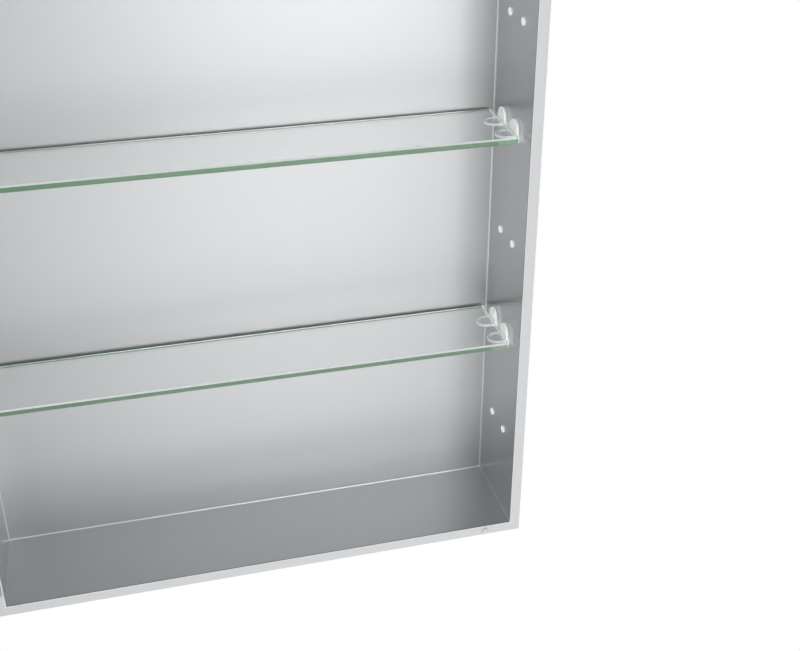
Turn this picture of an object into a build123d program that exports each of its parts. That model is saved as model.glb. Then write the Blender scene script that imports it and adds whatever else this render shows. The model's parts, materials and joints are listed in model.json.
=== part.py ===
"""Surface-mounted medicine cabinet: aluminium case, two glass shelves and a mirrored door standing open.

Frame: +X right and +Z up as seen from the front, +Y into the wall. The origin is the centre of the
rear edge plane, where the case meets the wall. Millimetres.
"""

from build123d import *

import math
import os

os.makedirs("parts", exist_ok=True)

# ---- driving dimensions: the case ----
case_width = 508.0
case_height = 609.6
interior_depth = 98.6      # back panel to the front of the rim
wall_thickness = 10.0
wall_skin = 1.5            # skin of the hollow wall extrusions
rim_skin = 2.0             # their front skin, which takes the hinge screws
rim_inner_chamfer = 0.8
rim_outer_chamfer = 0.5
rear_recess = 8.5          # empty space behind the back panel
panel_thickness = 1.5
panel_play = 0.2           # groove width over the panel's thickness
groove_depth = 6.0
panel_edge_gap = 1.0       # panel edge to groove bottom
panel_lip = 1.0            # bead that the panel's front face bears on
key_clearance = 0.1        # corner keys in their chambers
rear_key_leg = 34.0
front_key_leg = 46.0
front_key_depth = 30.0

# ---- driving dimensions: shelves and what carries them ----
row_pitch = 101.6
row_count = 5
shelf_rows = {"lower": 1, "upper": 3}
rear_column = 32.5         # sleeve columns, from the back panel
front_column = 65.5
shelf_thickness = 6.0
shelf_depth = 78.5
shelf_back_gap = 2.0
shelf_end_clearance = 0.4  # glass end to the support's upright leaf
shelf_edge_chamfer = 0.8
peg_radius = 2.5
peg_fit = 0.05
sleeve_flange_radius = 3.5
sleeve_flange = 1.2
sleeve_barrel_radius = 3.0
sleeve_barrel = 5.5
peg_length = 6.0
upright_thickness = 2.2
upright_above_shelf = 10.0
support_width = 18.0
support_setback = 4.0       # leaf and ledge centre, behind the peg
ledge_thickness = 2.5
ledge_reach = 19.0         # wall face to the ledge's rounded tip
support_edge_radius = 0.6

# ---- driving dimensions: wall fixing ----
mounting_hole_radius = 3.25
mounting_hole_inset = 40.8  # from each wall's inner face
mounting_hole_drop = 36.0   # from the top wall's inner face
rail_height = 40.0
rail_thickness = 1.5
rail_end_gap = 4.0
rivet_radius = 1.6
rivet_head_radius = 3.2
rivet_head = 1.0
rivet_tail = 2.4
rivet_offset = 12.0         # from the mounting hole, towards the ends
spacer_height = 20.0
spacer_rise = 30.0          # the lower spacer, from the bottom wall's inner face

# ---- driving dimensions: small screws ----
screw_radius = 1.5
screw_hole_clearance = 0.2
pan_head_radius = 2.8
pan_head = 1.8
corner_screw_inset = 18.0
corner_screw_length = 8.0

# ---- driving dimensions: door ----
door_gap = 3.0             # rim to the door's rear face
door_frame_width = 28.0
door_frame_depth = 12.0
door_frame_skin = 1.5
front_mirror_thickness = 4.0
front_mirror_corner = 2.0
front_mirror_chamfer = 0.8
rear_mirror_thickness = 3.0
rear_mirror_lap = 8.0      # how far the rear mirror laps onto the frame
rear_mirror_clearance = 0.4
front_tape_thickness = 0.8
front_tape_margin = 4.0    # tape strip, inside the frame's edges
rear_tape_thickness = 0.5
core_clearance = 1.0
door_key_leg = 60.0
door_open_angle = 105.0

# ---- driving dimensions: hinge ----
knuckle_radius = 2.5
knuckle_gap = 0.3
knuckle_count = 14
pin_radius = 1.2
pin_running_fit = 0.05
pin_head_radius = 1.9
pin_head = 0.8
leaf_thickness = 1.2
leaf_edge_margin = 1.0     # leaf edge to the rim's inner edge
knuckle_side_gap = 0.2     # knuckle to the case's side
hinge_end_inset = 25.0
hinge_screw_count = 6
hinge_screw_radius = 1.4
hinge_screw_head_radius = 2.4
countersink_margin = 0.1   # countersink over the screw's head
countersink_angle = 82.0
hinge_screw_length = 9.0

# ---- driving dimensions: bumpers and magnetic catch ----
bumper_radius = 3.6
bumper_round = 1.7
bumper_squash_gap = 0.2
bumper_inset = 36.5        # from the case's right side
catch_inset = 70.0         # catch centre, from the case's right side
catch_width = 44.0
catch_height = 10.0
catch_depth = 18.0
catch_wall = 1.2
pole_width = 24.0
pole_thickness = 1.2
pole_length = 14.0
magnet_setback = 3.0       # magnet behind the pole plates' tips
catch_screw_offset = 17.0
strike_width = 42.0
strike_thickness = 1.0
strike_gap = 0.1           # pole plates to the strike with the door shut
strike_drop = 0.8          # strike's upper edge below the case's inner face
strike_mirror_gap = 0.2    # strike's lower edge above the rear mirror's rebate
strike_screw_offset = 17.0
strike_screw_head = 0.8
strike_screw_length = 6.0

# ---- derived places; depth is measured forward from the wall plane ----
half_width = case_width / 2
half_height = case_height / 2
inner_x = half_width - wall_thickness
inner_z = half_height - wall_thickness
panel_front = rear_recess + panel_thickness
groove_rear = rear_recess - panel_play
rim_front = panel_front + interior_depth
rear_chamber_end = groove_rear - wall_skin
front_chamber_start = panel_front + wall_skin
front_chamber_end = rim_front - rim_skin
middle_web = (front_chamber_start + front_chamber_end) / 2
first_row = -(row_count - 1) * row_pitch / 2
row_heights = [first_row + row * row_pitch for row in range(row_count)]
columns = {"rear": panel_front + rear_column, "front": panel_front + front_column}
sides = {"left": -1, "right": 1}
upright_face = sleeve_flange + upright_thickness
shelf_end_gap = upright_face + shelf_end_clearance
hinge_offset = knuckle_radius + knuckle_side_gap
hinge_x = -half_width - hinge_offset
hinge_depth = rim_front + door_gap / 2
hinge_axis = Axis((hinge_x, -hinge_depth, 0), (0, 0, 1))
door_rear = rim_front + door_gap
door_frame_front = door_rear + door_frame_depth
door_glass_rear = door_frame_front + front_tape_thickness
mounting_x = inner_x - mounting_hole_inset
mounting_z = inner_z - mounting_hole_drop
catch_x = half_width - catch_inset
pole_tip = door_rear - strike_thickness - strike_gap


def write_piece(piece, label):
    """Label one finished piece and write it under that name."""
    piece.label = label
    export_step(piece, f"parts/{label}.step")


def write_door_piece(piece, label):
    """Swing a piece that was modelled with the door shut to the open door's place, then write it."""
    write_piece(piece.rotate(hinge_axis, -door_open_angle), label)


def frame_planes(depth):
    """Start plane and length of each side of a rectangle as large as the case.

    Local x points inward, local y forward, and the normal runs along the side.
    """
    return {
        "right": (Plane((half_width, -depth, -half_height), (-1, 0, 0), (0, 0, 1)), case_height),
        "top": (Plane((half_width, -depth, half_height), (0, 0, -1), (-1, 0, 0)), case_width),
        "left": (Plane((-half_width, -depth, half_height), (1, 0, 0), (0, 0, -1)), case_height),
        "bottom": (Plane((-half_width, -depth, -half_height), (0, 0, 1), (1, 0, 0)), case_width),
    }


def mitred_member(section, start, run):
    """Extrude a section along one side and cut both of its ends at 45 degrees."""
    with BuildPart() as member:
        with BuildSketch(start):
            add(section)
        extrude(amount=run)
        split(bisect_by=Plane(start.origin, z_dir=start.z_dir - start.x_dir), keep=Keep.TOP)
        end = start.origin + start.z_dir * run
        split(bisect_by=Plane(end, z_dir=start.z_dir + start.x_dir), keep=Keep.BOTTOM)
    return member.part


def corner_keys(near, far, leg, rear, depth, screw_holes):
    """Four L-shaped keys in the members' chambers, between two distances in from the outer faces."""
    with BuildPart() as keys:
        for side_x in (-1, 1):
            for side_z in (-1, 1):
                steps = ((near, near), (leg, near), (leg, far), (far, far), (far, leg), (near, leg))
                outline = [(side_x * (half_width - a), side_z * (half_height - b)) for a, b in steps]
                with BuildSketch(Plane.XZ.offset(rear)):
                    with BuildLine():
                        Polyline(outline, close=True)
                    make_face()
                extrude(amount=depth)
        for hole in screw_holes:
            with Locations(hole):
                Hole(screw_radius)
    return keys.part


def ring_strip(outer_x, outer_z, width, rear, thickness):
    """A flat rectangular ring, such as a run of mounting tape, at one depth."""
    with BuildPart() as ring:
        with BuildSketch(Plane.XZ.offset(rear)):
            Rectangle(2 * outer_x, 2 * outer_z)
            Rectangle(2 * (outer_x - width), 2 * (outer_z - width), mode=Mode.SUBTRACT)
        extrude(amount=thickness)
    return ring.part


def flat_sheet(width, height, rear, thickness, centre=(0, 0)):
    """A plain rectangular sheet facing forward."""
    with BuildPart() as sheet:
        with BuildSketch(Plane.XZ.offset(rear)):
            with Locations(centre):
                Rectangle(width, height)
        extrude(amount=thickness)
    return sheet.part


def pan_screws(heads, head_height, length):
    """Pan-head screws: each plane sits under the head, its normal pointing out of the work."""
    with BuildPart() as screws:
        for head in heads:
            with BuildSketch(head):
                Circle(pan_head_radius)
            extrude(amount=head_height)
            with BuildSketch(head):
                Circle(screw_radius)
            extrude(amount=-length)
    return screws.part


def countersunk_screws(heads):
    """Countersunk screws: each plane is flush with the head's top, its normal pointing outward."""
    cone = (hinge_screw_head_radius - hinge_screw_radius) / math.tan(math.radians(countersink_angle / 2))
    with BuildPart() as screws:
        for head in heads:
            axis = Axis(head.origin, head.z_dir)
            with BuildSketch(Plane(head.origin, head.x_dir, head.x_dir.cross(head.z_dir))):
                with BuildLine():
                    Polyline(
                        (0, 0),
                        (hinge_screw_head_radius, 0),
                        (hinge_screw_radius, -cone),
                        (hinge_screw_radius, -hinge_screw_length),
                        (0, -hinge_screw_length),
                        close=True,
                    )
                make_face()
            revolve(axis=axis)
    return screws.part


# ---- case walls: hollow extrusions, mitred at the corners ----
with BuildSketch() as wall_section:
    with BuildLine():
        Polyline(
            (0, 0),
            (wall_thickness, 0),
            (wall_thickness, groove_rear),
            (wall_thickness - groove_depth, groove_rear),
            (wall_thickness - groove_depth, panel_front),
            (wall_thickness + panel_lip, panel_front),
        )
        CenterArc((wall_thickness, panel_front), panel_lip, 0, 90)
        Polyline(
            (wall_thickness, panel_front + panel_lip),
            (wall_thickness, rim_front - rim_inner_chamfer),
            (wall_thickness - rim_inner_chamfer, rim_front),
            (rim_outer_chamfer, rim_front),
            (0, rim_front - rim_outer_chamfer),
            (0, 0),
        )
    make_face()
    chambers = (
        (wall_skin, rear_chamber_end),
        (front_chamber_start, middle_web - wall_skin / 2),
        (middle_web + wall_skin / 2, front_chamber_end),
    )
    for low, high in chambers:
        with Locations((wall_thickness / 2, (low + high) / 2)):
            Rectangle(wall_thickness - 2 * wall_skin, high - low, mode=Mode.SUBTRACT)

# Planes under the heads of the corner screws, on the walls' inner faces behind the back panel.
corner_screw_heads = {
    "right": Plane((inner_x, 0, 0), (0, 1, 0), (-1, 0, 0)),
    "left": Plane((-inner_x, 0, 0), (0, 1, 0), (1, 0, 0)),
    "top": Plane((0, 0, inner_z), (0, 1, 0), (0, 0, -1)),
    "bottom": Plane((0, 0, -inner_z), (0, 1, 0), (0, 0, 1)),
}
corner_screw_depth = (wall_skin + rear_chamber_end) / 2


def corner_screw_planes(wall):
    """The two corner screws of one wall, one near each end."""
    face = corner_screw_heads[wall]
    upright = wall in sides
    reach = (inner_z if upright else inner_x) - corner_screw_inset
    along = Vector(0, 0, 1) if upright else Vector(1, 0, 0)
    lift = Vector(0, -corner_screw_depth, 0)
    return [Plane(face.origin + lift + along * place, face.x_dir, face.z_dir) for place in (-reach, reach)]


def row_planes(side):
    """Planes on a side wall's inner face, facing inward, one at each sleeve."""
    direction = sides[side]
    return [
        Plane((direction * inner_x, -depth, height), (0, 0, 1), (-direction, 0, 0))
        for height in row_heights
        for depth in columns.values()
    ]


# Planes flush with the tops of the hinge screws' heads, on the two leaves with the door shut.
hinge_length = case_height - 2 * hinge_end_inset
hinge_bottom = -hinge_length / 2
screw_step = hinge_length / hinge_screw_count
screw_heights = [hinge_bottom + (index + 0.5) * screw_step for index in range(hinge_screw_count)]
hinge_screw_x = -half_width + wall_thickness / 2
case_leaf_heads = [
    Plane((hinge_screw_x, -rim_front - leaf_thickness, height), (1, 0, 0), (0, -1, 0))
    for height in screw_heights
]
door_leaf_heads = [
    Plane((hinge_screw_x, -door_rear + leaf_thickness, height), (1, 0, 0), (0, 1, 0))
    for height in screw_heights
]
catch_screw_depth = rim_front - catch_depth / 2
catch_screw_heads = [
    Plane((catch_x + place, -catch_screw_depth, inner_z - catch_height), (1, 0, 0), (0, 0, -1))
    for place in (-catch_screw_offset, catch_screw_offset)
]

for wall, (start, run) in frame_planes(0).items():
    with BuildPart() as case_wall:
        add(mitred_member(wall_section.sketch, start, run))
        for head in corner_screw_planes(wall):
            with Locations(head):
                Hole(screw_radius + screw_hole_clearance, depth=2 * wall_skin)
        if wall in sides:
            for sleeve_plane in row_planes(wall):
                with Locations(sleeve_plane):
                    Hole(sleeve_barrel_radius, depth=2 * wall_skin)
        if wall == "left":
            for head in case_leaf_heads:
                with Locations(head):
                    Hole(hinge_screw_radius, depth=leaf_thickness + 2 * rim_skin)
        if wall == "top":
            for head in catch_screw_heads:
                with Locations(head):
                    Hole(screw_radius, depth=catch_height + 2 * wall_skin)
    write_piece(case_wall.part, f"wall_{wall}")

# ---- corner keys and their screws ----
key_near = wall_skin + key_clearance
key_far = wall_thickness - wall_skin - key_clearance
all_corner_screws = [plane for wall in corner_screw_heads for plane in corner_screw_planes(wall)]
rear_key_depth = rear_chamber_end - wall_skin - key_clearance
write_piece(
    corner_keys(key_near, key_far, rear_key_leg, wall_skin, rear_key_depth, all_corner_screws),
    "rear_corner_keys",
)
write_piece(
    corner_keys(key_near, key_far, front_key_leg, front_chamber_end - front_key_depth, front_key_depth, []),
    "front_corner_keys",
)
write_piece(pan_screws(all_corner_screws, pan_head, corner_screw_length), "corner_screws")

# ---- back panel, hanging rail, rivets and the spacers that keep the panel off the wall ----
mounting_points = [(-mounting_x, mounting_z), (mounting_x, mounting_z)]
rivet_points = [
    (side * (mounting_x + place), mounting_z) for side in (-1, 1) for place in (-rivet_offset, rivet_offset)
]
panel_engagement = groove_depth - panel_edge_gap
with BuildPart() as back_panel:
    with BuildSketch(Plane.XZ.offset(rear_recess)):
        Rectangle(2 * (inner_x + panel_engagement), 2 * (inner_z + panel_engagement))
        with Locations(*mounting_points):
            Circle(mounting_hole_radius, mode=Mode.SUBTRACT)
        with Locations(*rivet_points):
            Circle(rivet_radius, mode=Mode.SUBTRACT)
    extrude(amount=panel_thickness)
write_piece(back_panel.part, "back_panel")

with BuildPart() as hanging_rail:
    with BuildSketch(Plane.XZ):
        with Locations((0, mounting_z)):
            Rectangle(2 * (inner_x - rail_end_gap), rail_height)
    extrude(amount=rear_recess)
    with BuildSketch(Plane.XZ):
        with Locations((0, mounting_z)):
            Rectangle(2 * (inner_x - rail_end_gap), rail_height - 2 * rail_thickness)
    extrude(amount=rear_recess - rail_thickness, mode=Mode.SUBTRACT)
    with BuildSketch(Plane.XZ):
        with Locations(*mounting_points):
            Circle(mounting_hole_radius)
        with Locations(*rivet_points):
            Circle(rivet_radius)
    extrude(amount=rear_recess, mode=Mode.SUBTRACT)
write_piece(hanging_rail.part, "hanging_rail")

with BuildPart() as rail_rivets:
    with BuildSketch(Plane.XZ.offset(panel_front)):
        with Locations(*rivet_points):
            Circle(rivet_head_radius)
    extrude(amount=rivet_head)
    chamfer(rail_rivets.faces().filter_by(Axis.Y).group_by(Axis.Y)[0].edges(), rivet_head / 2)
    with BuildSketch(Plane.XZ.offset(panel_front)):
        with Locations(*rivet_points):
            Circle(rivet_radius)
    extrude(amount=-(panel_thickness + rail_thickness + rivet_tail))
write_piece(rail_rivets.part, "rail_rivets")

spacer_heights = {"centre": 0, "lower": -inner_z + spacer_rise + spacer_height / 2}
for place, height in spacer_heights.items():
    spacer = flat_sheet(2 * (inner_x - rail_end_gap), spacer_height, 0, rear_recess, (0, height))
    write_piece(spacer, f"spacer_{place}")

# ---- sleeves in the side walls ----
for side in sides:
    with BuildPart() as sleeves:
        for sleeve_plane in row_planes(side):
            with BuildSketch(sleeve_plane):
                Circle(sleeve_flange_radius)
            extrude(amount=sleeve_flange)
            with BuildSketch(sleeve_plane):
                Circle(sleeve_barrel_radius)
            extrude(amount=-sleeve_barrel)
            with BuildSketch(sleeve_plane.offset(-sleeve_barrel)):
                Circle(peg_radius + peg_fit)
            extrude(amount=sleeve_barrel + sleeve_flange, mode=Mode.SUBTRACT)
    write_piece(sleeves.part, f"sleeves_{side}")

# ---- shelf supports: an upright leaf on a peg, with a ledge under the glass ----
for shelf, row in shelf_rows.items():
    seat = row_heights[row]
    upright_top = seat + shelf_thickness + upright_above_shelf
    for side, direction in sides.items():
        for column, depth in columns.items():
            upright_rear = direction * (inner_x - sleeve_flange)
            centre = support_setback - depth
            inward = Plane((upright_rear, centre, seat), (0, -direction, 0), (-direction, 0, 0))
            half = support_width / 2
            upright_straight = upright_top - seat - half
            ledge_straight = ledge_reach - sleeve_flange - half
            with BuildPart() as support:
                with BuildSketch(inward):
                    with BuildLine():
                        Polyline(
                            (-half, upright_straight),
                            (-half, -ledge_thickness),
                            (half, -ledge_thickness),
                            (half, upright_straight),
                        )
                        CenterArc((0, upright_straight), half, 0, 180)
                    make_face()
                extrude(amount=upright_thickness)
                ledge_plane = Plane((upright_rear, centre, seat), (-direction, 0, 0), (0, 0, -1))
                with BuildSketch(ledge_plane):
                    with BuildLine():
                        Polyline((ledge_straight, -half), (0, -half), (0, half), (ledge_straight, half))
                        CenterArc((ledge_straight, 0), half, -90, 180)
                    make_face()
                extrude(amount=ledge_thickness)
                face_side = support.faces().filter_by(Axis.X).sort_by(Axis.X)
                rounded = face_side[0] if direction > 0 else face_side[-1]
                fillet(rounded.edges().filter_by(GeomType.CIRCLE), support_edge_radius)
                with BuildSketch(Plane((upright_rear, -depth, seat), (0, -direction, 0), (-direction, 0, 0))):
                    Circle(peg_radius)
                extrude(amount=-(sleeve_flange + peg_length))
            write_piece(support.part, f"support_{shelf}_{side}_{column}")

# ---- glass shelves ----
for shelf, row in shelf_rows.items():
    with BuildPart() as glass_shelf:
        with BuildSketch(Plane.XY.offset(row_heights[row])):
            with Locations((0, -panel_front - shelf_back_gap - shelf_depth / 2)):
                Rectangle(2 * (inner_x - shelf_end_gap), shelf_depth)
        extrude(amount=shelf_thickness)
        level_faces = glass_shelf.faces().filter_by(Axis.Z)
        chamfer(level_faces.edges(), shelf_edge_chamfer)
    write_piece(glass_shelf.part, f"shelf_{shelf}")

# ---- clear bumpers on the rim, near the door's free side ----
for place, level in {"lower": -1, "upper": 1}.items():
    with BuildPart() as bumper:
        with BuildSketch(Plane.XZ.offset(rim_front)):
            with Locations((half_width - bumper_inset, level * (half_height - wall_thickness / 2))):
                Circle(bumper_radius)
        extrude(amount=door_gap - bumper_squash_gap)
        fillet(bumper.faces().sort_by(Axis.Y)[0].edges(), bumper_round)
    write_piece(bumper.part, f"bumper_{place}")

# ---- magnetic catch under the top wall ----
catch_rear = rim_front - catch_depth
pole_rear = pole_tip - pole_length
pole_stack = catch_height - 2 * catch_wall
magnet_height = pole_stack - 2 * pole_thickness
stack_middle = inner_z - catch_height / 2
with BuildPart() as catch_housing:
    with BuildSketch(Plane.XZ.offset(catch_rear)):
        with Locations((catch_x, stack_middle)):
            Rectangle(catch_width, catch_height)
    extrude(amount=catch_depth)
    fillet(catch_housing.edges().filter_by(Axis.Y).group_by(Axis.Z)[0], catch_wall)
    with BuildSketch(Plane.XZ.offset(pole_rear)):
        with Locations((catch_x, stack_middle)):
            Rectangle(pole_width, pole_stack)
    extrude(amount=pole_length, mode=Mode.SUBTRACT)
    for head in catch_screw_heads:
        with Locations(head):
            Hole(screw_radius + screw_hole_clearance, depth=catch_height)
write_piece(catch_housing.part, "catch_housing")

write_piece(
    flat_sheet(pole_width, magnet_height, pole_rear, pole_length - magnet_setback, (catch_x, stack_middle)),
    "catch_magnet",
)
with BuildPart() as pole_plates:
    for level in (-1, 1):
        with BuildSketch(Plane.XZ.offset(pole_rear)):
            with Locations((catch_x, stack_middle + level * (magnet_height + pole_thickness) / 2)):
                Rectangle(pole_width, pole_thickness)
        extrude(amount=pole_length)
write_piece(pole_plates.part, "catch_pole_plates")
write_piece(pan_screws(catch_screw_heads, pan_head, catch_height + 2 * wall_skin), "catch_screws")

# ---- continuous hinge: two leaves with interleaved knuckles on one pin ----
knuckle_pitch = hinge_length / knuckle_count
leaf_near = hinge_x + knuckle_radius + knuckle_gap
leaf_far = -half_width + wall_thickness - leaf_edge_margin


def hinge_leaf(first_knuckle, plate_rear, screw_heads, bore_radius):
    """One leaf: its plate, every second knuckle, the pin's bore and countersunk screw holes."""
    plate_depth = plate_rear + leaf_thickness / 2
    with BuildPart() as leaf:
        with BuildSketch(Plane.XY.offset(hinge_bottom)):
            with Locations(((leaf_near + leaf_far) / 2, -plate_depth)):
                Rectangle(leaf_far - leaf_near, leaf_thickness)
        extrude(amount=hinge_length)
        for index in range(first_knuckle, knuckle_count, 2):
            low = hinge_bottom + index * knuckle_pitch + knuckle_gap / 2
            with BuildSketch(Plane.XY.offset(low)):
                with Locations((hinge_x, -hinge_depth)):
                    Circle(knuckle_radius)
                with Locations(((hinge_x + leaf_near) / 2, -plate_depth)):
                    Rectangle(leaf_near - hinge_x, leaf_thickness)
            extrude(amount=knuckle_pitch - knuckle_gap)
        with BuildSketch(Plane.XY.offset(hinge_bottom)):
            with Locations((hinge_x, -hinge_depth)):
                Circle(bore_radius)
        extrude(amount=hinge_length, mode=Mode.SUBTRACT)
        for head in screw_heads:
            with Locations(head):
                CounterSinkHole(
                    hinge_screw_radius + screw_hole_clearance,
                    hinge_screw_head_radius + countersink_margin,
                    counter_sink_angle=countersink_angle,
                    depth=leaf_thickness * 2,
                )
    return leaf.part


write_piece(hinge_leaf(0, rim_front, case_leaf_heads, pin_radius), "hinge_leaf_case")
write_door_piece(
    hinge_leaf(1, door_rear - leaf_thickness, door_leaf_heads, pin_radius + pin_running_fit),
    "hinge_leaf_door",
)
with BuildPart() as hinge_pin:
    with BuildSketch(Plane.XY.offset(hinge_bottom)):
        with Locations((hinge_x, -hinge_depth)):
            Circle(pin_radius)
    extrude(amount=hinge_length)
    for low in (hinge_bottom - pin_head, hinge_bottom + hinge_length):
        with BuildSketch(Plane.XY.offset(low)):
            with Locations((hinge_x, -hinge_depth)):
                Circle(pin_head_radius)
        extrude(amount=pin_head)
write_piece(hinge_pin.part, "hinge_pin")
write_piece(countersunk_screws(case_leaf_heads), "hinge_screws_case")
write_door_piece(countersunk_screws(door_leaf_heads), "hinge_screws_door")

# ---- door frame: hollow mitred members with a rebate for the rear mirror ----
rebate_start = door_frame_width - rear_mirror_lap
rebate_depth = rear_mirror_thickness + rear_tape_thickness
with BuildSketch() as door_section:
    with BuildLine():
        Polyline(
            (0, 0),
            (rebate_start, 0),
            (rebate_start, rebate_depth),
            (door_frame_width, rebate_depth),
            (door_frame_width, door_frame_depth),
            (0, door_frame_depth),
            close=True,
        )
    make_face()
    chamber_width = rebate_start - 2 * door_frame_skin
    with Locations((rebate_start / 2, door_frame_depth / 2)):
        Rectangle(chamber_width, door_frame_depth - 2 * door_frame_skin, mode=Mode.SUBTRACT)

strike_height = rebate_start - strike_mirror_gap - wall_thickness - strike_drop
strike_z = inner_z - strike_drop - strike_height / 2
strike_heads = [
    Plane((catch_x + place, -door_rear + strike_thickness, strike_z), (1, 0, 0), (0, 1, 0))
    for place in (-strike_screw_offset, strike_screw_offset)
]
for member, (start, run) in frame_planes(door_rear).items():
    with BuildPart() as door_member:
        add(mitred_member(door_section.sketch, start, run))
        if member == "left":
            for head in door_leaf_heads:
                with Locations(head):
                    Hole(hinge_screw_radius, depth=leaf_thickness + 2 * door_frame_skin)
        if member == "top":
            for head in strike_heads:
                with Locations(head):
                    Hole(screw_radius, depth=strike_thickness + 2 * door_frame_skin)
    write_door_piece(door_member.part, f"door_frame_{member}")

door_keys = corner_keys(
    door_frame_skin + key_clearance,
    rebate_start - door_frame_skin - key_clearance,
    door_key_leg,
    door_rear + door_frame_depth / 2,
    door_frame_depth / 2 - door_frame_skin,
    [],
)
write_door_piece(door_keys, "door_corner_keys")

# ---- front mirror, bonded over the whole frame ----
with BuildPart() as front_mirror:
    with BuildSketch(Plane.XZ.offset(door_glass_rear)):
        RectangleRounded(case_width, case_height, front_mirror_corner)
    extrude(amount=front_mirror_thickness)
    chamfer(front_mirror.faces().sort_by(Axis.Y)[0].edges(), front_mirror_chamfer)
write_door_piece(front_mirror.part, "front_mirror")
write_door_piece(
    ring_strip(
        half_width - front_tape_margin,
        half_height - front_tape_margin,
        door_frame_width - 2 * front_tape_margin,
        door_frame_front,
        front_tape_thickness,
    ),
    "front_mirror_tape",
)

# ---- rear mirror in the frame's rebate, its tape, and the core board between the mirrors ----
rear_mirror_inset = rebate_start + rear_mirror_clearance
rear_mirror = flat_sheet(
    case_width - 2 * rear_mirror_inset,
    case_height - 2 * rear_mirror_inset,
    door_rear,
    rear_mirror_thickness,
)
write_door_piece(rear_mirror, "rear_mirror")
write_door_piece(
    ring_strip(
        half_width - rear_mirror_inset,
        half_height - rear_mirror_inset,
        rear_mirror_lap - rear_mirror_clearance,
        door_rear + rear_mirror_thickness,
        rear_tape_thickness,
    ),
    "rear_mirror_tape",
)
core_inset = door_frame_width + core_clearance
core = flat_sheet(
    case_width - 2 * core_inset,
    case_height - 2 * core_inset,
    door_rear + rear_mirror_thickness,
    door_glass_rear - door_rear - rear_mirror_thickness,
)
write_door_piece(core, "door_core")

# ---- strike plate on the door frame, opposite the catch ----
with BuildPart() as strike_plate:
    strike_rear = door_rear - strike_thickness
    add(flat_sheet(strike_width, strike_height, strike_rear, strike_thickness, (catch_x, strike_z)))
    fillet(strike_plate.edges().filter_by(Axis.Y), strike_thickness)
    for head in strike_heads:
        with Locations(head):
            Hole(screw_radius + screw_hole_clearance, depth=strike_thickness)
write_door_piece(strike_plate.part, "strike_plate")
write_door_piece(pan_screws(strike_heads, strike_screw_head, strike_screw_length), "strike_screws")
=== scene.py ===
import json
import math

import bmesh
import bpy
from mathutils import Matrix, Vector


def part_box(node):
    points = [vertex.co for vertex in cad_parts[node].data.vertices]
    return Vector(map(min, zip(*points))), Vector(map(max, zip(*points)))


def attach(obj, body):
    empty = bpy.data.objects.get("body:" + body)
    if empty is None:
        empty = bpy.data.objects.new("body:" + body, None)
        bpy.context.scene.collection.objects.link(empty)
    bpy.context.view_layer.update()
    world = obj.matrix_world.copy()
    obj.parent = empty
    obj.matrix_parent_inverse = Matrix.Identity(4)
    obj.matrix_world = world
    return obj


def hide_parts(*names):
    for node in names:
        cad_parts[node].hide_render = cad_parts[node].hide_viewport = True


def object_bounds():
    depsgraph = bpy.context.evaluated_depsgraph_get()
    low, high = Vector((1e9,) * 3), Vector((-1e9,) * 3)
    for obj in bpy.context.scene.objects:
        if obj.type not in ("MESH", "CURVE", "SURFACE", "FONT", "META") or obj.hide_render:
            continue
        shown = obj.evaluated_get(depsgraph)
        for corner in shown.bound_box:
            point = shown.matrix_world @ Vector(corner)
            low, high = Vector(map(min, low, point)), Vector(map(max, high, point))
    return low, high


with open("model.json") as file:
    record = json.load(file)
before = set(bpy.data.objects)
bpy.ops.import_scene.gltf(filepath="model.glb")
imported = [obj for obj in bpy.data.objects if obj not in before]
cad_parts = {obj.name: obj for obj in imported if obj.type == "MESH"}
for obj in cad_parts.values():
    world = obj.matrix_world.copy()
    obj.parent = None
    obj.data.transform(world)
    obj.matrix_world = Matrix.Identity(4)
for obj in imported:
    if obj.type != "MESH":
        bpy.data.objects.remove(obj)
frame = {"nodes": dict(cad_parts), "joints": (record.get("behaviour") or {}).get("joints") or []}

cad_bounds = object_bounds()

# Case: four hollow aluminium extrusions, mitred and keyed at the corners, with a groove for the back
# panel. They are bead-blasted, then clear anodised. The front face of the rim is paler and less metallic.
# A painted highlight runs along the rim's arris, the bead beside the groove and the inside mitres, and a
# painted shade strip lies just behind the arris.


def add(tree, kind, inputs=None, **settings):
    """Add a node, apply its settings, and feed its inputs from sockets or plain values."""
    node = tree.nodes.new(kind)
    for name, value in settings.items():
        setattr(node, name, value)
    for name, value in (inputs or {}).items():
        if isinstance(value, bpy.types.NodeSocket):
            tree.links.new(value, node.inputs[name])
        else:
            node.inputs[name].default_value = value
    return node


def maths(tree, operation, *values):
    """The result of a Math node fed by sockets or plain numbers."""
    return add(tree, "ShaderNodeMath", dict(enumerate(values)), operation=operation).outputs[0]


def noise(tree, coordinates, scale, detail=2.0, roughness=0.5):
    """The value of a Noise Texture on the given coordinates."""
    return add(tree, "ShaderNodeTexNoise", {
        "Vector": coordinates, "Scale": scale, "Detail": detail, "Roughness": roughness,
    }).outputs["Fac"]


def blend_of(tree, first, share, second):
    """A share of the first value and the rest of the second."""
    return maths(tree, "MULTIPLY_ADD", first, share, maths(tree, "MULTIPLY", second, 1.0 - share))


def swayed(tree, base, grain, amount):
    """A base value, moved by how far a grain lies from its middle."""
    off_middle = maths(tree, "SUBTRACT", grain, 0.5)
    return maths(tree, "ADD", base, maths(tree, "MULTIPLY", off_middle, amount))


def mix_colours(tree, factor, first, second):
    """Two colours, given as sockets or as three numbers, blended by a factor."""
    colours = [value if isinstance(value, bpy.types.NodeSocket) else (*value, 1.0)
               for value in (first, second)]
    mix = add(tree, "ShaderNodeMix", {"Factor": factor}, data_type="RGBA")
    for socket, value in zip((mix.inputs["A"], mix.inputs["B"]), colours):
        if isinstance(value, bpy.types.NodeSocket):
            tree.links.new(value, socket)
        else:
            socket.default_value = value
    return mix.outputs["Result"]


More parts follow.
